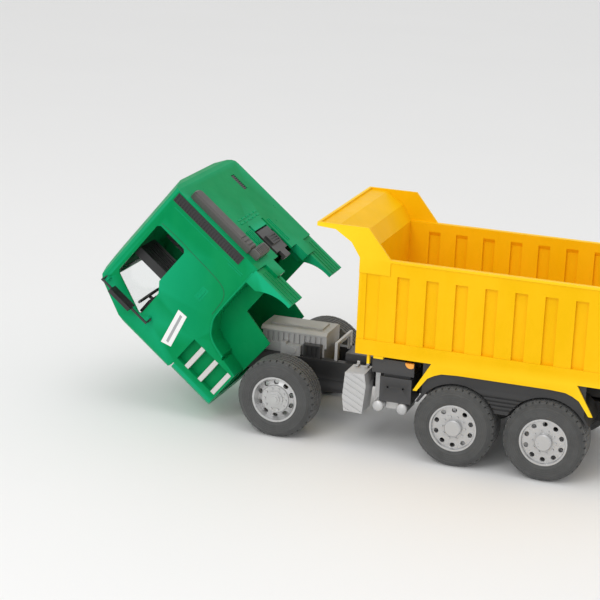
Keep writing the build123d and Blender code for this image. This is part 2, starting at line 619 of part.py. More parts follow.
def mirror_bracket(z):
    """Left bored lug for one end of the mirror's arm."""
    y = -CAB_HALF_WIDTH - MIRROR_OFFSET
    lug = block(MIRROR_X - 3, MIRROR_X + 3, y - 2.6, -CAB_HALF_WIDTH + 0.5, z - 1.5, z + 1.5)
    return lug - post(MIRROR_X, y, MIRROR_PIN_RADIUS + FIT_GAP, z - 2, z + 2)


def windscreen():
    """Clear sheet held inside the windscreen opening."""
    pane = cab_solid(CAB_WALL, 50.0) - cab_solid(CAB_WALL + 1.5, 40.0)
    half, low, high = WINDSCREEN
    return pane & block(-120, -60, -half - 3, half + 3, low - 3, high + 2)


def grille():
    """Black grille backing with six slats filling the front opening."""
    half, z0, z1 = GRILLE
    backing = cab_solid(CAB_WALL, 50.0) - cab_solid(CAB_WALL + 2, 40.0)
    backing = backing & block(-120, -90, -half - 3, half + 3, z0 - 3, z1 + 3)
    slats = cab_solid(0.4, 60.0) - cab_solid(CAB_WALL, 50.0)
    pitch = (z1 - z0) / 6
    lows = [z0 + pitch * i + 0.8 for i in range(6)]
    bars = Compound([block(-120, -90, -half + 0.2, half - 0.2, z, z + 2.8) for z in lows])
    return backing + (slats & bars)


def bumper_solid(distance, z0, z1):
    """Bumper volume drawn inwards by a distance."""
    return Pos(0, 0, z0) * upward(inset(mirrored_outline(BUMPER_PLAN), distance), z1 - z0)


def front_bumper():
    """Green bumper shell, open to the rear, with head-lamp and air openings."""
    z0, z1 = BUMPER_Z
    shell = bumper_solid(0, z0, z1) - bumper_solid(CAB_WALL, z0 + CAB_WALL, z1 - CAB_WALL)
    shell -= block(-95, -91, -CAB_HALF_WIDTH + 2.6, CAB_HALF_WIDTH - 2.6, z0 + CAB_WALL, z1 - CAB_WALL)
    y0, y1, lamp0, lamp1 = LAMP
    shell -= both(block(-120, -96, -y1, -y0, lamp0, lamp1))
    return shell - block(-120, -100, -40, 40, 36.0, 46.0)


def headlamp():
    """Left clear head-lamp lens in the bumper's opening."""
    y0, y1, z0, z1 = LAMP
    lens = bumper_solid(0.3, z0, z1) - bumper_solid(CAB_WALL + 1, z0 - 1, z1 + 1)
    return lens & block(-120, -96, -y1, -y0, z0, z1)


def dashboard():
    """Black dashboard across the cab with an instrument hood."""
    body = block(-99, -84, -66, 66, CAB_FLOOR + 2, 146.0)
    return body + block(-90, -74, -54, -26, 140.0, HOOD_TOP)


def steering_wheel():
    """Grey steering wheel on its column, in front of the left seat."""
    x, y, z = STEERING_WHEEL
    spoke = 2 * STEERING_RADIUS - 1
    ring = Torus(STEERING_RADIUS, 1.4) + Box(spoke, 3.0, 1.6) + Box(3.0, spoke, 1.6) + Cylinder(3.4, 3)
    return Pos(x, y, z) * Rot(0, 12, 0) * ring + post(x, y, 1.8, HOOD_TOP, z)


def seats():
    """Black bench insert with two raised seat backs, standing on the cab floor."""
    left = block(-62, -30, -62, -18, CAB_FLOOR + 2, 144.0)
    left += block(-44, -34, -58, -22, 143.0, 193.0)
    for y in (-52.0, -46.0, -40.0, -34.0, -28.0):
        left -= block(-35, -33, y - 1, y + 1, 150.0, 188.0)
    return both(left) + block(-60, -32, -20, 20, CAB_FLOOR + 2, 136.0)


def step_strips():
    """Three silver treads in the left step pocket."""
    x0, x1, low, high = STEP_POCKET
    floor_y = -CAB_HALF_WIDTH + STEP_DEPTH
    treads = [block(x0, x1, -CAB_HALF_WIDTH + 0.3, floor_y, top - STEP_HEIGHT, top) for top in STEP_TOPS]
    return Compound(treads)


def side_strip():
    """Left black ribbed strip at the rear edge of the cab side."""
    x0, x1, z0, z1 = RIBBED_STRIP
    strip = block(x0, x1, -CAB_HALF_WIDTH - 0.6, -CAB_HALF_WIDTH + 1, z0, z1)
    for i in range(int((z1 - z0) / STRIP_PITCH)):
        z = z0 + 2 + STRIP_PITCH * i
        strip -= block(x0 + 1.2, x1 - 1.2, -CAB_HALF_WIDTH - 1, -CAB_HALF_WIDTH, z, z + 1.5)
    return strip


def snorkel():
    """Air intake duct standing up the left of the cab's back."""
    y0, y1, z0, z1 = SNORKEL
    duct = block(CAB_REAR, CAB_REAR + 8, -y1, -y0, z0, z1)
    duct = fillet(duct.edges().filter_by(Axis.X).group_by(Axis.Z)[-1], 5.0)
    duct = chamfer(duct.faces().sort_by(Axis.X)[-1].outer_wire().edges(), 1.8)
    for z in (z0 + 3, z0 + 8, z0 + 13):
        duct -= block(CAB_REAR + 7, CAB_REAR + 9, -y1 - 1, -y0 + 1, z, z + 2)
    return duct


def snorkel_bellows():
    """Ribbed foot that joins the snorkel to the chassis duct."""
    y0, y1, z0, z1 = BELLOWS
    foot = block(CAB_REAR, CAB_REAR + 8, -y1, -y0, z0, z1)
    foot = fillet(foot.edges().filter_by(Axis.Y).group_by(Axis.X)[-1], 3.5)
    pitch = (y1 - y0) / 9
    for i in range(1, 9):
        y = -y1 + pitch * i
        foot -= block(CAB_REAR + 6.8, CAB_REAR + 9, y - 0.7, y + 0.7, z0 - 1, z1 + 1)
    return foot


def cab_latch():
    """Latch lever: a ribbed plate on a cross pin, with the hook along its lower edge clear of the catch."""
    half, low, high = HOOK
    plate = LATCH_PLATE_HALF
    rear = LATCH_X + 6.5
    lever = block(LATCH_X + 3.3, rear, -plate, plate, LATCH_PLATE_BOTTOM, LATCH_Z)
    lever += block(LATCH_X + 3.3, rear, -half, half, low, LATCH_Z)
    lever += block(LATCH_X + 0.9, rear, -half, half, low, high)
    lever += block(LATCH_X, rear, -plate, plate, LATCH_Z - 4, LATCH_Z)
    lever += rod(LATCH_X, LATCH_Z, 4.0, -plate, plate)
    lever += rod(LATCH_X, LATCH_Z, LATCH_PIN_RADIUS, -23, 23)
    lever += block(LATCH_X + 6.0, LATCH_X + 9.0, -11, 11, 97.0, 109.0)
    for z in (98.5, 101.5, 104.5):
        lever -= block(LATCH_X + 8.2, LATCH_X + 10, -9, 9, z, z + 1.5)
    return lever


def mirror_left():
    """Black mirror: C-shaped arm on two pegs, with the tall head fixed to it."""
    y = -CAB_HALF_WIDTH - MIRROR_OFFSET
    reach = y - 9.0
    arm = post(MIRROR_X, reach, 1.3, 130.6, 196.4)
    for z, peg in ((195.6, -1), (131.4, 1)):
        arm += block(MIRROR_X - 1.1, MIRROR_X + 1.1, reach, y, z - 0.8, z + 0.8)
        arm += post(MIRROR_X, y, 2.2, z - 0.8, z + 0.8)
        arm += post(MIRROR_X, y, MIRROR_PIN_RADIUS, min(z, z + 3.6 * peg), max(z, z + 3.6 * peg))
    head = block(MIRROR_X - 2.2, MIRROR_X + 2.2, reach - 6.5, reach + 6.0, 153.0, 182.0)
    return arm + head


# ---------------------------------------------------------------- tub
def canopy():
    """Canopy over the cab with its raised lip and the two side cheeks."""
    top = TUB_TOP
    tip = TUB_FRONT - LIP_REACH
    front = TUB_FRONT
    under = [(tip, top + 26.4), (front - 26.3, top + 25.1), (front - 9.1, top + 13.9), (front, top - 0.5)]
    over = [(front + 3.6, top - 0.5), (front - 6.6, top + 16.2), (front - 25.2, top + 28.1), (tip, top + 28.6)]
    plate = side_prism(under + over, -TUB_HALF_WIDTH, TUB_HALF_WIDTH)
    lip = block(tip, tip + 3, -TUB_HALF_WIDTH, TUB_HALF_WIDTH, top + 26.4, top + LIP_RISE)
    cheek = under + [
        (front, top - RIM_HEIGHT), (front + CHEEK_REACH, top - RIM_HEIGHT), (front + CHEEK_REACH, top),
        (front + 7.5, top + LIP_RISE), (tip, top + LIP_RISE),
    ]
    side = side_prism(cheek, -TUB_HALF_WIDTH, -TUB_HALF_WIDTH + 3)
    return plate + lip + both(side)


def skirt():
    """Left yellow edge that follows the rear wheel arches."""
    front = [(REAR_AXLE_1 + dx, TUB_BOTTOM + dz) for dx, dz in SKIRT_SIDE]
    rear = [(REAR_AXLE_2 - dx, TUB_BOTTOM + dz) for dx, dz in reversed(SKIRT_SIDE)]
    return side_prism(front + rear, -TUB_HALF_WIDTH, -TUB_HALF_WIDTH + SKIRT_THICKNESS)


def tipper_tub():
    """Yellow tub: corrugated sides, front wall, floor, canopy, wheel-arch skirts and hinge ears."""
    half = TUB_HALF_WIDTH
    inside = half - TUB_WALL
    tub = block(TUB_FRONT, TUB_REAR, -half, half, TUB_BOTTOM, TUB_TOP)
    floor = TUB_BOTTOM + FLOOR_THICKNESS
    tub -= block(TUB_FRONT + FLOOR_THICKNESS, TUB_REAR + 1, -inside, inside, floor, TUB_TOP + 1)
    low = TUB_BOTTOM + RAIL_HEIGHT
    high = TUB_TOP - RIM_HEIGHT
    skin = block(TUB_FRONT - 1, TUB_REAR + 1, -half - 1, -half + 0.8, low, TUB_TOP - 2.4)
    tub -= both(skin)
    tub -= both(block(TUB_FRONT + END_PANEL[0], TUB_FRONT + END_PANEL[1], -half - 1, -half + 2.0, low, high))
    count = int((TUB_LENGTH - FIRST_RECESS - RECESS_WIDTH) / RIB_PITCH) + 1
    behind = -half + 0.8 + SHEET
    slot = [(-inside + 0.5, low - 9), (behind, low - 9), (behind, high + 2), (-inside + 0.5, high + 7)]
    for i in range(count):
        x = TUB_FRONT + FIRST_RECESS + i * RIB_PITCH
        tub -= both(block(x, x + RECESS_WIDTH, -half - 1, -half + RECESS_DEPTH + 0.8, low, high))
        tub -= both(end_prism(slot, x - RIB_PITCH + RECESS_WIDTH + SHEET, x - SHEET))
    tub += canopy() + both(skirt())
    ear = block(TUB_REAR - 4, TUB_REAR + 7, -half, -half + 4.4, TUB_TOP - 12, TUB_TOP)
    ear -= rod(TUB_REAR + 2.6, TUB_TOP - 5.6, TAILGATE_PIN_RADIUS + FIT_GAP, -half - 1, -half + 5)
    tub += both(ear)
    peg = block(TUB_FRONT + 12.0, TUB_FRONT + 14.6, -half + 2, -half + 6, TUB_BOTTOM - 10, TUB_BOTTOM)
    foot = block(TUB_FRONT + 19, TUB_FRONT + 29, -half + 1, -half + 7, TUB_BOTTOM - 3, TUB_BOTTOM)
    return tub + both(peg + foot)


def tipper_subframe():
    """Two beams under the tub, joined by cross bars and bored for the tipper pin."""
    z0, z1 = BEAM_BOTTOM, TUB_BOTTOM
    frame = both(block(TUB_FRONT + 12.6, TIPPER_PIN_X + 9, -29, -22, z0, z1))
    for x in (TUB_FRONT + 16, (TUB_FRONT + TUB_REAR) / 2, TIPPER_PIN_X - 22):
        frame += block(x, x + 6, -60, 60, z1 - 8, z1)
    return frame - both(rod(TIPPER_PIN_X, TIPPER_PIN_Z, TIPPER_PIN_RADIUS + FIT_GAP, -30, -21))


def tailgate():
    """Top-hung tailgate with upright ribs and a peg at each top corner."""
    x = TUB_REAR + 0.5
    edge = TUB_HALF_WIDTH - 4.9
    axis_z = TUB_TOP - 5.6
    gate = block(x, x + 3.2, -edge, edge, TUB_BOTTOM + 0.4, axis_z + 1.2)
    for i in range(5):
        y = (i - 2) * edge / 2.4
        gate += block(x + 3.0, x + 6.2, y - 8, y + 8, TUB_BOTTOM + 12, axis_z - 12)
    gate += block(x + 3.0, x + 5.6, -edge, edge, TUB_BOTTOM + 0.4, TUB_BOTTOM + 9)
    return gate + both(rod(TUB_REAR + 2.6, axis_z, TAILGATE_PIN_RADIUS, -TUB_HALF_WIDTH, -edge + 1))


# ---------------------------------------------------------------- assembly
def leaned(shape):
    """Cab part swung forward to the rest pose."""
    return Pos(CAB_PIN_X, 0, CAB_PIN_Z) * Rot(0, -CAB_TILT, 0) * Pos(-CAB_PIN_X, 0, -CAB_PIN_Z) * shape


def wheel_nodes():
    """Rim, tyre and axle nodes at the three axles."""
    nodes = {}
    front = (FRONT_WHEEL_FACE, FRONT_TYRE_WIDTH, front_rim)
    rear = (REAR_WHEEL_FACE, REAR_TYRE_WIDTH, rear_rim)
    axles = (("front", 0, front), ("rear_1", REAR_AXLE_1, rear), ("rear_2", REAR_AXLE_2, rear))
    for name, x, (face_y, width, rim) in axles:
        place = Pos(x, 0, AXLE_Z)
        left_tyre = tyre(face_y, width)
        left_rim = rim(face_y)
        nodes[name + "_tyre_left"] = place * left_tyre
        nodes[name + "_tyre_right"] = place * to_right(left_tyre)
        nodes[name + "_rim_left"] = place * left_rim
        nodes[name + "_rim_right"] = place * to_right(left_rim)
        nodes[name + "_axle"] = place * wheel_axle(face_y)
    return nodes


def chassis_nodes():
    """Nodes that stay with the frame."""
    return {
        "chassis_frame": chassis_frame(), "chassis_screws": chassis_screws(),
        "cab_pivot_pin": cab_pivot_pin(),
        "tipper_hinge_pin": tipper_hinge_pin(), "engine_block": engine_block(),
        "engine_cover": engine_cover(),
        "alternator": alternator(), "air_intake_box": air_intake_box(), "latch_catch": latch_catch(),
        "gearbox": gearbox(), "fuel_tank": fuel_tank(), "fuel_tank_straps": fuel_tank_straps(),
        "battery_box": battery_box(),
        "air_tank_front": air_tank(AIR_TANK_X[0]), "air_tank_rear": air_tank(AIR_TANK_X[1]),
        "air_tank_bracket": air_tank_bracket(), "exhaust_silencer": exhaust_silencer(),
        "wheel_liner_left": wheel_liner(), "wheel_liner_right": to_right(wheel_liner()),
        "side_lamp_left": side_lamp(), "side_lamp_right": to_right(side_lamp()),
        "tail_lamp_left": tail_lamp(), "tail_lamp_right": to_right(tail_lamp()),
    }


def cab_nodes():
    """Nodes that swing with the cab, in the rest pose."""
    closed = {
        "cab_shell": cab_shell(), "windscreen": windscreen(), "grille": grille(),
        "front_bumper": front_bumper(),
        "headlamp_left": headlamp(), "headlamp_right": to_right(headlamp()), "dashboard": dashboard(),
        "steering_wheel": steering_wheel(), "seats": seats(), "step_strips_left": step_strips(),
        "step_strips_right": to_right(step_strips()), "side_strip_left": side_strip(),
        "side_strip_right": to_right(side_strip()), "snorkel": snorkel(),
        "snorkel_bellows": snorkel_bellows(),
        "cab_latch": cab_latch(), "mirror_left": mirror_left(), "mirror_right": to_right(mirror_left()),
    }
    return {name: leaned(shape) for name, shape in closed.items()}


def tub_nodes():
    """Nodes that swing with the tub."""
    return {"tipper_tub": tipper_tub(), "tipper_subframe": tipper_subframe(), "tailgate": tailgate()}


def main():
    """Build every node, centre the truck over the origin and write the STEP files."""
    nodes = {**chassis_nodes(), **wheel_nodes(), **cab_nodes(), **tub_nodes()}
    box = Compound([n for shape in nodes.values() for n in shape.solids()]).bounding_box(optimal=True)
    shift = Pos(-(box.min.X + box.max.X) / 2, -(box.min.Y + box.max.Y) / 2, -box.min.Z)
    os.makedirs("parts", exist_ok=True)
    for name, shape in nodes.items():
        export_step(shift * Compound(shape.solids()), os.path.join("parts", name + ".step"))
    print("nodes", len(nodes), "box", box.min, box.max)


main()
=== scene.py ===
"""Looks of the toy dump truck: materials for the CAD nodes, added surface detail, floor, lights, camera.

Added pieces are drawn in the truck's millimetres with the cab closed, -X forward, and are then placed by
the CAB matrix, which leans them with the tipped cab. The TRUCK matrix places millimetres without the lean.
"""

import json
import math

import bmesh
import bpy
from mathutils import Matrix, Vector

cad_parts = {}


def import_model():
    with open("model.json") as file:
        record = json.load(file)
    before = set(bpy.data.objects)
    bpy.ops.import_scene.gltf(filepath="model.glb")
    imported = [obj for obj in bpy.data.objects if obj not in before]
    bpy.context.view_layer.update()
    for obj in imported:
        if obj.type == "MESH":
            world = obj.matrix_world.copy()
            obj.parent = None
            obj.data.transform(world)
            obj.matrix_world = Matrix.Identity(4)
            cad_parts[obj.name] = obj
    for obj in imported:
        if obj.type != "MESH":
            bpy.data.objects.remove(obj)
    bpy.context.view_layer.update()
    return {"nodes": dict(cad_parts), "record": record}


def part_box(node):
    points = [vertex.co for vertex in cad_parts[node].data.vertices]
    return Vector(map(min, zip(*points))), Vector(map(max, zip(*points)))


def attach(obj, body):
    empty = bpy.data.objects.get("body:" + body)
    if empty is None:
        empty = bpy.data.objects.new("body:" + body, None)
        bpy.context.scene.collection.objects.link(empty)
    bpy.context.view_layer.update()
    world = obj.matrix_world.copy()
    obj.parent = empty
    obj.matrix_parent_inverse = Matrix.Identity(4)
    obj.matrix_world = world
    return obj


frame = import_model()
NODES = frame["nodes"]
JOINTS = {j["name"]: j for j in frame["record"]["behaviour"]["joints"]}
MM = 0.001

# ---------------------------------------------------------------- drawing millimetres to the scene
PIVOT = Vector(JOINTS["cab_tilt"]["pos_m"])
TILT = math.radians(JOINTS["cab_tilt"]["range_deg"][1])
PIVOT_CLOSED = Vector((-77.6, 0.0, 44.5))     # cab pivot in drawing millimetres
LEAN = Matrix.Rotation(-TILT, 4, "Y")
CAB = Matrix.Translation(PIVOT) @ LEAN @ Matrix.Scale(MM, 4) @ Matrix.Translation(-PIVOT_CLOSED)
TRUCK = Matrix.Translation(PIVOT) @ Matrix.Scale(MM, 4) @ Matrix.Translation(-PIVOT_CLOSED)

# ---------------------------------------------------------------- driving values of the added pieces, in mm
CAB_SIDE_Y = 79.0
CAB_BACK_X = 52.7
SUNK = 0.3                # how far a moulded rib starts below the surface it stands on
ARCH_LIP = [
    (46, 85.4), (20, 85.4), (-6, 85.4), (-22, 84.6), (-33, 78.4), (-38.5, 74.2), (-42.6, 66.4), (-45.4, 56),
    (-46.6, 50.5),
]
ARCH_LIP_RADIUS = 1.1
DOOR_SEAM = [
    (13, 189), (14, 176), (14, 160), (13.5, 148), (13, 120), (12, 104), (9, 95), (2, 90), (-8, 88.5),
    (-20, 88),
]
DOOR_SEAM_RADIUS = 0.35
LABEL = [(-84.6, 108.2), (-43.6, 116.9), (-42.7, 105.4), (-80.6, 96.9)]
LABEL_PROUD = 0.25
STRIPE_LENGTH = 0.84      # share of the label's length
STRIPE_HALF = 1.5
STRIPE_PROUD = 0.34
SIDE_RIBS = ((36.0, 92.0, 120.0), (33.6, 92.0, 112.0), (36.0, 128.0, 190.0))    # front edge, bottom, top
SIDE_RIB_WIDTH = 0.9
SLOT_Y = (40.2, 48.8)
SLOT_Z = (165.2, 185.8)
SLOT_BARS = 8
SLOT_BAR_PITCH = 2.5
LOUVRE_ROWS = 2
LOUVRE_ROW_PITCH = 4.5
LOUVRES = 5
LOUVRE_PITCH = 11
LOUVRE_SIZE = (7.5, 2.0)
LOUVRE_START = (-30, 133.0)
LATCH_RIBS_LEFT = (-35.5, -32.0, -28.5, -25.0)
LATCH_RIBS_RIGHT = (26.0, 30.0)

# ---------------------------------------------------------------- camera, matched to the photograph
AZIMUTH = math.radians(18.98)
ELEVATION = math.radians(16.63)
ROLL = math.radians(2.35)
DISTANCE = 1.96469
FOCAL_LENGTH = 111.96
SENSOR_WIDTH = 36.0
AIM = Vector((-7.51, 0.0, 120.1))             # drawing millimetres

# ---------------------------------------------------------------- studio
FLOOR_HALF = 6.0
WORLD_STRENGTH = 0.84
LIGHTS = (                # name, place, target, size, power
    ("key", (-0.5, -2.0, 1.9), (0.05, 0.0, 0.12), 0.9, 12),
    ("top", (0.3, -0.5, 2.6), (0.1, 0.0, 0.0), 1.6, 9),
    ("front", (-0.1, -2.5, 0.9), (0.0, 0.0, 0.05), 1.2, 7),
)

# ---------------------------------------------------------------- plastics
PLASTIC_IOR = 1.5
CLEAR_IOR = 1.2
GRAIN = 0.25              # strength of the moulded grain's bump

# ---------------------------------------------------------------- tyre tread
SIPES = 60.0              # cuts round the tyre
SIPE_WAVE = 160.0         # their waviness across the tyre, radians per metre
WALL_RINGS = 3300.0       # rings moulded in the sidewall, radians per metre
SHOULDER = 1.1 * MM       # running surface starts this far inside the tyre's radius


# ---------------------------------------------------------------- node helpers
def new_material(name):
    """New node material, its tree and its principled shader."""
    mat = bpy.data.materials.new(name)
    mat.use_nodes = True
    tree = mat.node_tree
    shader = tree.nodes["Principled BSDF"]
    return mat, tree, shader


def noise(tree, scale, detail=3.0, rough=0.5, stretch=(1, 1, 1)):
    """Noise texture in object coordinates, measured in cycles per metre."""
    coord = tree.nodes.new("ShaderNodeTexCoord")
    mapping = tree.nodes.new("ShaderNodeMapping")
    mapping.inputs["Scale"].default_value = stretch
    tex = tree.nodes.new("ShaderNodeTexNoise")
    tex.inputs["Scale"].default_value = scale
    tex.inputs["Detail"].default_value = detail
    tex.inputs["Roughness"].default_value = rough
    tree.links.new(coord.outputs["Object"], mapping.inputs["Vector"])
    tree.links.new(mapping.outputs["Vector"], tex.inputs["Vector"])
    return tex.outputs["Fac"]


def spread(tree, value, low, high, to_low, to_high):
    """Map Range from low..high to to_low..to_high."""
    node = tree.nodes.new("ShaderNodeMapRange")
    node.inputs["From Min"].default_value = low
    node.inputs["From Max"].default_value = high
    node.inputs["To Min"].default_value = to_low
    node.inputs["To Max"].default_value = to_high
    tree.links.new(value, node.inputs["Value"])
    return node.outputs["Result"]


def mix(tree, fac, a, b):
    """Colour mix; a and b are colours or sockets."""
    node = tree.nodes.new("ShaderNodeMix")
    node.data_type = "RGBA"
    tree.links.new(fac, node.inputs["Factor"])
    for value, socket in ((a, node.inputs[6]), (b, node.inputs[7])):
        if isinstance(value, tuple):
            socket.default_value = (*value, 1)
        else:
            tree.links.new(value, socket)
    return node.outputs[2]


def calc(tree, operation, a, b=None):
    """Math node; a and b are numbers or sockets."""
    node = tree.nodes.new("ShaderNodeMath")
    node.operation = operation
    for value, socket in ((a, node.inputs[0]), (b, node.inputs[1])):
        if isinstance(value, (int, float)):
            socket.default_value = value
        elif value is not None:
            tree.links.new(value, socket)
    return node.outputs[0]


def edge_highlight_and_wear(tree, low, high):
    """0 on flats and 1 along convex edges, from the mesh's pointiness. The paler colour mixed in along these
    edges is painted highlight, on the tyres partly dust as well.
    """
    geometry = tree.nodes.new("ShaderNodeNewGeometry")
    return spread(tree, geometry.outputs["Pointiness"], low, high, 0.0, 1.0)


def surface(tree, shader, heights, rounding=0.35 * MM):
    """Bump layers of (height socket, strength, distance) on top of softly rounded edges."""
    bevel = tree.nodes.new("ShaderNodeBevel")
    bevel.samples = 4
    bevel.inputs["Radius"].default_value = rounding
    normal = bevel.outputs["Normal"]
    for height, strength, distance in heights:
        bump = tree.nodes.new("ShaderNodeBump")
        bump.inputs["Strength"].default_value = strength
        bump.inputs["Distance"].default_value = distance
        tree.links.new(height, bump.inputs["Height"])
        tree.links.new(normal, bump.inputs["Normal"])
        normal = bump.outputs["Normal"]
    tree.links.new(normal, shader.inputs["Normal"])


def moulded(name, color, rough, edge, flow=0.06, coat=0.0, gloss=0.5):
    """Injection-moulded plastic: faint flow marks, handling haze, fine grain and paler edges, a painted
    highlight.
    """
    mat, tree, shader = new_material(name)
    light = tuple(min(1.0, c * (1 + flow) + 0.004) for c in color)
    dark = tuple(c * (1 - flow) for c in color)
    cloud = noise(tree, 28, 4, 0.6, (1, 1, 0.5))
    base = mix(tree, spread(tree, cloud, 0.35, 0.65, 0.0, 1.0), dark, light)
    # paler colour along convex edges: painted highlight
    base = mix(tree, edge_highlight_and_wear(tree, 0.52, 0.62), base, edge)
    tree.links.new(base, shader.inputs["Base Color"])
    haze = noise(tree, 90, 5, 0.65)
    tree.links.new(spread(tree, haze, 0.3, 0.7, rough - 0.05, rough + 0.08), shader.inputs["Roughness"])
    shader.inputs["IOR"].default_value = PLASTIC_IOR
    shader.inputs["Specular IOR Level"].default_value = gloss
    shader.inputs["Coat Weight"].default_value = coat
    shader.inputs["Coat Roughness"].default_value = 0.12
    fine = noise(tree, 2600, 2, 0.5)
    wave = noise(tree, 60, 2, 0.5)
    surface(tree, shader, [(wave, 0.08, 0.6 * MM), (fine, GRAIN, 0.03 * MM)])
    return mat


def metallic_plastic(name, color, rough, metal=0.35):
    """Silver-pigmented plastic: fine flake sparkle over grey."""
    mat, tree, shader = new_material(name)
    flake = noise(tree, 5200, 1, 0.4)
    cloud = noise(tree, 35, 4, 0.6)
    base = mix(tree, spread(tree, cloud, 0.35, 0.65, 0.0, 1.0), tuple(c * 0.93 for c in color), color)
    base = mix(tree, spread(tree, flake, 0.58, 0.72, 0.0, 0.35), base, tuple(min(1, c * 1.5) for c in color))
    tree.links.new(base, shader.inputs["Base Color"])
    shader.inputs["Metallic"].default_value = metal
    haze = noise(tree, 120, 5, 0.65)
    tree.links.new(spread(tree, haze, 0.3, 0.7, rough - 0.05, rough + 0.1), shader.inputs["Roughness"])
    surface(tree, shader, [(flake, 0.2, 0.02 * MM)], 0.3 * MM)
    return mat


def tread(tree, axle):
    """Height of the tread: wavy sipes across the running surface and faint rings on the sidewalls."""
    coord = tree.nodes.new("ShaderNodeTexCoord")
    centre = tree.nodes.new("ShaderNodeVectorMath")
    centre.operation = "SUBTRACT"
    centre.inputs[1].default_value = axle
    tree.links.new(coord.outputs["Object"], centre.inputs[0])
    split = tree.nodes.new("ShaderNodeSeparateXYZ")
    tree.links.new(centre.outputs[0], split.inputs[0])
    x, y, z = split.outputs["X"], split.outputs["Y"], split.outputs["Z"]
    angle = calc(tree, "ARCTAN2", z, x)
    slant = calc(tree, "SINE", calc(tree, "MULTIPLY", y, SIPE_WAVE))
    wave = calc(tree, "SINE", calc(tree, "ADD", calc(tree, "MULTIPLY", angle, SIPES), slant))
    x_squared = calc(tree, "MULTIPLY", x, x)
    z_squared = calc(tree, "MULTIPLY", z, z)
    radius = calc(tree, "SQRT", calc(tree, "ADD", x_squared, z_squared))
    sipes = spread(tree, wave, 0.45, 0.75, 1.0, 0.0)
    running = spread(tree, radius, TREAD_START, TREAD_START + 0.4 * MM, 0.0, 1.0)
    rings = spread(tree, calc(tree, "SINE", calc(tree, "MULTIPLY", radius, WALL_RINGS)), 0.7, 0.95, 0.0, 0.3)
    wall = calc(tree, "MULTIPLY", rings, calc(tree, "SUBTRACT", 1.0, running))
    return calc(tree, "ADD", calc(tree, "MULTIPLY", sipes, running), wall)


def rubber(name, axle):
    """Tyre rubber: near-black grey with paler edges, partly dust and partly painted highlight, and a
    slightly blotchy sidewall.
    """
    mat, tree, shader = new_material(name)
    cloud = noise(tree, 55, 5, 0.65)
    base = mix(tree, spread(tree, cloud, 0.35, 0.7, 0.0, 1.0), (0.040, 0.041, 0.041), (0.062, 0.064, 0.063))
    # paler colour along convex edges: partly dust, partly painted highlight
    base = mix(tree, edge_highlight_and_wear(tree, 0.52, 0.64), base, (0.11, 0.11, 0.107))
    tree.links.new(base, shader.inputs["Base Color"])
    haze = noise(tree, 140, 5, 0.6)
    tree.links.new(spread(tree, haze, 0.3, 0.7, 0.52, 0.7), shader.inputs["Roughness"])
    shader.inputs["Sheen Weight"].default_value = 0.15
    shader.inputs["Sheen Roughness"].default_value = 0.5
    fine = noise(tree, 1800, 3, 0.6)
    surface(tree, shader, [(tread(tree, axle), 0.9, 0.7 * MM), (fine, 0.35, 0.05 * MM)], 0.4 * MM)
    return mat


def steel(name):
    """Drawn steel rod with fine lengthwise scratches."""
    mat, tree, shader = new_material(name)
    scratch = noise(tree, 900, 3, 0.7, (1, 0.02, 1))
    base = mix(tree, scratch, (0.42, 0.42, 0.43), (0.62, 0.62, 0.63))
    tree.links.new(base, shader.inputs["Base Color"])
    shader.inputs["Metallic"].default_value = 1.0
    tree.links.new(spread(tree, scratch, 0.2, 0.8, 0.22, 0.42), shader.inputs["Roughness"])
    surface(tree, shader, [(scratch, 0.15, 0.02 * MM)])
    return mat


def clear(name, tint, rough=0.04):
    """Clear moulded plastic with faint smears."""
    mat, tree, shader = new_material(name)
    smear = noise(tree, 45, 4, 0.6)
    base = mix(tree, smear, tint, tuple(min(1, c * 1.04) for c in tint))
    tree.links.new(base, shader.inputs["Base Color"])
    shader.inputs["Transmission Weight"].default_value = 1.0
    shader.inputs["IOR"].default_value = CLEAR_IOR
    tree.links.new(spread(tree, smear, 0.3, 0.7, rough, rough + 0.06), shader.inputs["Roughness"])
    surface(tree, shader, [(smear, 0.03, 0.1 * MM)])
    return mat


# the fourth colour of each moulded plastic is its paler edge colour, a painted highlight
GREEN = moulded("green_abs", (0.0003, 0.255, 0.080), 0.32, (0.010, 0.40, 0.19), gloss=0.04)
YELLOW = moulded("yellow_abs", (0.90, 0.505, 0.002), 0.36, (1.0, 0.66, 0.02), flow=0.03, gloss=0.06)
BLACK = moulded("black_plastic", (0.015, 0.015, 0.0155), 0.38, (0.05, 0.05, 0.052), flow=0.15)
LINER = moulded("liner_plastic", (0.012, 0.012, 0.0125), 0.48, (0.04, 0.04, 0.041), flow=0.15, gloss=0.35)
CHARCOAL = moulded("charcoal_plastic", (0.030, 0.028, 0.026), 0.40, (0.10, 0.095, 0.09), flow=0.12)
SILVER = metallic_plastic("silver_plastic", (0.55, 0.55, 0.55), 0.36, 0.4)
RIM = metallic_plastic("rim_plastic", (0.52, 0.52, 0.52), 0.30, 0.6)
CASTING = metallic_plastic("engine_plastic", (0.44, 0.44, 0.44), 0.40, 0.25)
COVER = moulded("engine_cover_plastic", (0.21, 0.205, 0.20), 0.40, (0.42, 0.42, 0.41), flow=0.12)
TREAD_PLATE = moulded("tread_plastic", (0.50, 0.475, 0.47), 0.42, (0.62, 0.60, 0.59), flow=0.06)
STEEL = steel("steel_rod")
CLEAR = clear("clear_plastic", (0.93, 0.95, 0.95))
LENS = clear("lamp_lens", (0.90, 0.93, 0.95), 0.08)
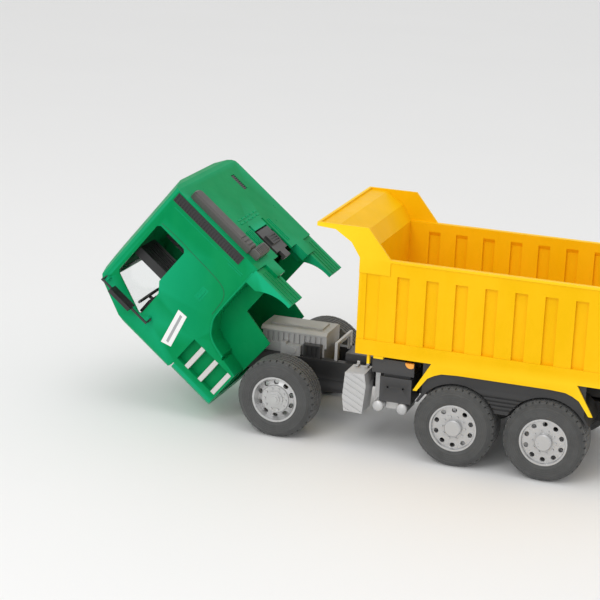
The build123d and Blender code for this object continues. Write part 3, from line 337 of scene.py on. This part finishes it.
# dark green for the door seam: painted shade of the seam's groove
GREEN_SEAM_SHADE = moulded("green_seam_shade", (0.0004, 0.09, 0.03), 0.5, (0.002, 0.12, 0.045))
LABEL_WHITE = moulded("label_white", (0.80, 0.80, 0.79), 0.35, (0.86, 0.86, 0.85), flow=0.02)
LABEL_GREY = moulded("label_grey", (0.30, 0.31, 0.32), 0.35, (0.36, 0.37, 0.38), flow=0.05)
ORANGE = moulded("orange_lens", (0.86, 0.24, 0.008), 0.22, (1.0, 0.42, 0.05), coat=0.4)
RED = moulded("red_lens", (0.42, 0.008, 0.006), 0.2, (0.6, 0.05, 0.03), coat=0.5)

TYRE_LOW, TYRE_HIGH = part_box("front_tyre_left")
TREAD_START = (TYRE_HIGH[2] - TYRE_LOW[2]) / 2 - SHOULDER

NODE_MATERIALS = {
    "cab_shell": GREEN, "front_bumper": GREEN, "tipper_tub": YELLOW, "tailgate": YELLOW,
    "chassis_frame": BLACK, "air_intake_box": BLACK, "gearbox": BLACK, "battery_box": BLACK,
    "wheel_liner_left": LINER, "wheel_liner_right": LINER, "grille": BLACK, "dashboard": BLACK,
    "seats": BLACK, "side_strip_left": BLACK, "side_strip_right": BLACK, "cab_latch": BLACK,
    "mirror_left": BLACK, "mirror_right": BLACK, "tipper_subframe": BLACK, "snorkel": CHARCOAL,
    "snorkel_bellows": CHARCOAL, "steering_wheel": CHARCOAL, "alternator": CASTING, "latch_catch": SILVER,
    "fuel_tank": SILVER, "fuel_tank_straps": SILVER, "air_tank_front": SILVER, "air_tank_rear": SILVER,
    "air_tank_bracket": SILVER, "exhaust_silencer": SILVER, "step_strips_left": TREAD_PLATE,
    "step_strips_right": TREAD_PLATE, "engine_block": CASTING, "engine_cover": COVER,
    "chassis_screws": STEEL, "cab_pivot_pin": STEEL, "tipper_hinge_pin": STEEL, "windscreen": CLEAR,
    "headlamp_left": LENS, "headlamp_right": LENS, "side_lamp_left": ORANGE, "side_lamp_right": ORANGE,
    "tail_lamp_left": RED, "tail_lamp_right": RED,
}
for axle in ("front", "rear_1", "rear_2"):
    NODE_MATERIALS[axle + "_axle"] = STEEL
    low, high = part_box(axle + "_tyre_left")
    tyre_rubber = rubber(axle + "_tyre_rubber", ((low[0] + high[0]) / 2, 0.0, (low[2] + high[2]) / 2))
    for side in ("left", "right"):
        NODE_MATERIALS[f"{axle}_tyre_{side}"] = tyre_rubber
        NODE_MATERIALS[f"{axle}_rim_{side}"] = RIM


def dress(node, material):
    """Gives a CAD node its material in every slot."""
    slots = NODES[node].data.materials
    if not slots:
        slots.append(material)
    for i in range(len(slots)):
        slots[i] = material


for node_name in NODES:
    dress(node_name, NODE_MATERIALS[node_name])


# ---------------------------------------------------------------- added surface detail
def slab(bm, x0, x1, y0, y1, z0, z1):
    """Adds a box between two corners, with softened edges."""
    size = ((x1 - x0), (y1 - y0), (z1 - z0))
    centre = Matrix.Translation(((x0 + x1) / 2, (y0 + y1) / 2, (z0 + z1) / 2))
    made = bmesh.ops.create_cube(bm, size=1.0, matrix=centre @ Matrix.Diagonal((*size, 1)))
    edges = list({e for v in made["verts"] for e in v.link_edges})
    bmesh.ops.bevel(bm, geom=edges, offset=min(size) * 0.3, segments=2, affect="EDGES", profile=0.6)


def piece(name, bm, matrix, body, material):
    """Puts a bmesh drawn in millimetres into the scene, riding on a body."""
    bmesh.ops.recalc_face_normals(bm, faces=bm.faces)
    mesh = bpy.data.meshes.new(name)
    bm.to_mesh(mesh)
    bm.free()
    mesh.transform(matrix)
    mesh.materials.append(material)
    obj = bpy.data.objects.new(name, mesh)
    bpy.context.scene.collection.objects.link(obj)
    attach(obj, body)


def bead(name, points, radius, matrix, body, material):
    """Round bead along smoothed points, drawn in millimetres."""
    curve = bpy.data.curves.new(name, "CURVE")
    curve.dimensions = "3D"
    curve.bevel_depth = radius * MM
    curve.bevel_resolution = 3
    curve.use_fill_caps = True
    spline = curve.splines.new("NURBS")
    spline.points.add(len(points) - 1)
    for point, place in zip(spline.points, points):
        point.co = (*(matrix @ Vector(place)), 1.0)
    spline.order_u = 3
    spline.use_endpoint_u = True
    curve.materials.append(material)
    obj = bpy.data.objects.new(name, curve)
    bpy.context.scene.collection.objects.link(obj)
    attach(obj, body)


def side_name(side):
    """left for the -Y side and right for the +Y side."""
    return "left" if side < 0 else "right"


def side_slab(bm, x0, x1, side, sunk, proud, z0, z1):
    """Slab standing on the cab's side."""
    y0, y1 = sorted((side * (CAB_SIDE_Y - sunk), side * (CAB_SIDE_Y + proud)))
    slab(bm, x0, x1, y0, y1, z0, z1)


def plate(name, outline, side, proud, material):
    """Thin four-cornered plate on the cab's side."""
    bm = bmesh.new()
    near = [bm.verts.new((x, side * (CAB_SIDE_Y - 0.1), z)) for x, z in outline]
    far = [bm.verts.new((x, side * (CAB_SIDE_Y + proud), z)) for x, z in outline]
    bm.faces.new(near)
    bm.faces.new(far)
    for i in range(4):
        bm.faces.new((near[i], near[i - 1], far[i - 1], far[i]))
    bmesh.ops.bevel(bm, geom=list(bm.edges), offset=0.06, segments=1, affect="EDGES")
    piece(name + "_" + side_name(side), bm, CAB, "cab", material)


def stripe_outline():
    """Narrow band along the middle of the label."""
    cx = sum(x for x, z in LABEL) / 4
    cz = sum(z for x, z in LABEL) / 4
    short = [(cx + (x - cx) * STRIPE_LENGTH, cz + (z - cz) * STRIPE_LENGTH) for x, z in LABEL]
    x0, z0 = ((a + b) / 2 for a, b in zip(short[0], short[3]))
    x1, z1 = ((a + b) / 2 for a, b in zip(short[1], short[2]))
    return [
        (x0, z0 + STRIPE_HALF), (x1, z1 + STRIPE_HALF), (x1, z1 - STRIPE_HALF), (x0, z0 - STRIPE_HALF),
    ]


def door_label(side):
    """Plain white label on the door with a grey stripe and no lettering."""
    plate("door_label", LABEL, side, LABEL_PROUD, LABEL_WHITE)
    plate("door_label_stripe", stripe_outline(), side, STRIPE_PROUD, LABEL_GREY)


def cab_side_detail(side):
    """Lip round the wheel arch, door seam, handle and moulded side ribs."""
    name = side_name(side)
    lip = [(x, side * (CAB_SIDE_Y + 0.1), z) for x, z in ARCH_LIP]
    bead("arch_lip_" + name, lip, ARCH_LIP_RADIUS, CAB, "cab", GREEN)
    # the door seam is drawn in dark green, painted shade of its groove
    seam = [(x, side * (CAB_SIDE_Y - 0.1), z) for x, z in DOOR_SEAM]
    bead("door_seam_" + name, seam, DOOR_SEAM_RADIUS, CAB, "cab", GREEN_SEAM_SHADE)
    bm = bmesh.new()
    side_slab(bm, -18, -6, side, 0.4, 0.9, 108.5, 112.0)
    side_slab(bm, -20, -4, side, 0.4, 0.25, 106.0, 114.5)
    piece("door_handle_" + name, bm, CAB, "cab", GREEN)
    bm = bmesh.new()
    for x, z0, z1 in SIDE_RIBS:
        side_slab(bm, x, x + SIDE_RIB_WIDTH, side, SUNK, 0.35, z0, z1)
    piece("side_ribs_" + name, bm, CAB, "cab", GREEN)


def slot_grille():
    """Black back plate and bars in the slot of the cab's back."""
    y0, y1 = SLOT_Y
    low, high = SLOT_Z
    bm = bmesh.new()
    slab(bm, CAB_BACK_X - 1.5, CAB_BACK_X - 0.9, y0, y1, low, high)
    for i in range(SLOT_BARS):
        z = low + 1.0 + SLOT_BAR_PITCH * i
        slab(bm, CAB_BACK_X - 1.1, CAB_BACK_X - 0.2, y0 + 0.4, y1 - 0.4, z, z + 1.2)
    piece("back_slot_grille", bm, CAB, "cab", BLACK)


def louvres():
    """Two rows of small moulded louvres on the cab's back."""
    width, height = LOUVRE_SIZE
    start_y, start_z = LOUVRE_START
    bm = bmesh.new()
    for row in range(LOUVRE_ROWS):
        z = start_z + LOUVRE_ROW_PITCH * row
        for i in range(LOUVRES):
            y = start_y + LOUVRE_PITCH * i
            slab(bm, CAB_BACK_X - SUNK, CAB_BACK_X + 0.55, y, y + width, z, z + height)
    piece("back_louvres", bm, CAB, "cab", GREEN)


def latch_ribs():
    """Upright ribs on both sides of the latch."""
    bm = bmesh.new()
    for y in LATCH_RIBS_LEFT:
        slab(bm, CAB_BACK_X - SUNK, CAB_BACK_X + 1.0, y, y + 1.6, 106.0, 124.0)
    for y in LATCH_RIBS_RIGHT:
        slab(bm, CAB_BACK_X - SUNK, CAB_BACK_X + 0.7, y, y + 1.2, 92.0, 124.0)
    piece("back_ribs", bm, CAB, "cab", GREEN)


for side in (-1, 1):
    door_label(side)
    cab_side_detail(side)
slot_grille()
louvres()
latch_ribs()


# ---------------------------------------------------------------- stage, lights and camera
def floor():
    """Plain pale floor."""
    mesh = bpy.data.meshes.new("floor")
    half = FLOOR_HALF
    corners = [(-half, -half, 0), (half, -half, 0), (half, half, 0), (-half, half, 0)]
    mesh.from_pydata(corners, [], [(0, 1, 2, 3)])
    obj = bpy.data.objects.new("floor", mesh)
    bpy.context.scene.collection.objects.link(obj)
    mat, tree, shader = new_material("floor_paper")
    cloud = noise(tree, 3, 3, 0.5)
    tree.links.new(mix(tree, cloud, (0.83, 0.83, 0.826), (0.85, 0.85, 0.846)), shader.inputs["Base Color"])
    shader.inputs["Roughness"].default_value = 0.7
    mesh.materials.append(mat)


def area_light(name, location, target, size, power):
    """Square soft box aimed at a point."""
    data = bpy.data.lights.new(name, "AREA")
    data.energy = power
    data.size = size
    obj = bpy.data.objects.new(name, data)
    obj.location = location
    obj.rotation_euler = (Vector(target) - Vector(location)).to_track_quat("-Z", "Y").to_euler()
    bpy.context.scene.collection.objects.link(obj)


def world():
    """Even pale surroundings."""
    back = bpy.data.worlds.new("studio")
    back.use_nodes = True
    node = back.node_tree.nodes["Background"]
    node.inputs["Color"].default_value = (1.0, 1.0, 1.0, 1)
    node.inputs["Strength"].default_value = WORLD_STRENGTH
    bpy.context.scene.world = back


def camera():
    """Camera at the photograph's angle, distance and lens."""
    level = math.cos(ELEVATION)
    back = Vector((math.sin(AZIMUTH) * level, -math.cos(AZIMUTH) * level, math.sin(ELEVATION)))
    right = Vector((math.cos(AZIMUTH), math.sin(AZIMUTH), 0))
    up = back.cross(right)
    rolled_right = right * math.cos(ROLL) + up * math.sin(ROLL)
    rolled_up = up * math.cos(ROLL) - right * math.sin(ROLL)
    data = bpy.data.cameras.new("camera")
    data.lens = FOCAL_LENGTH
    data.sensor_width = SENSOR_WIDTH
    obj = bpy.data.objects.new("camera", data)
    turn = Matrix((rolled_right, rolled_up, back)).transposed().to_4x4()
    obj.matrix_world = Matrix.Translation(TRUCK @ AIM + back * DISTANCE) @ turn
    bpy.context.scene.collection.objects.link(obj)
    bpy.context.scene.camera = obj


floor()
world()
for light in LIGHTS:
    area_light(*light)
camera()
bpy.context.scene.view_settings.view_transform = "Standard"
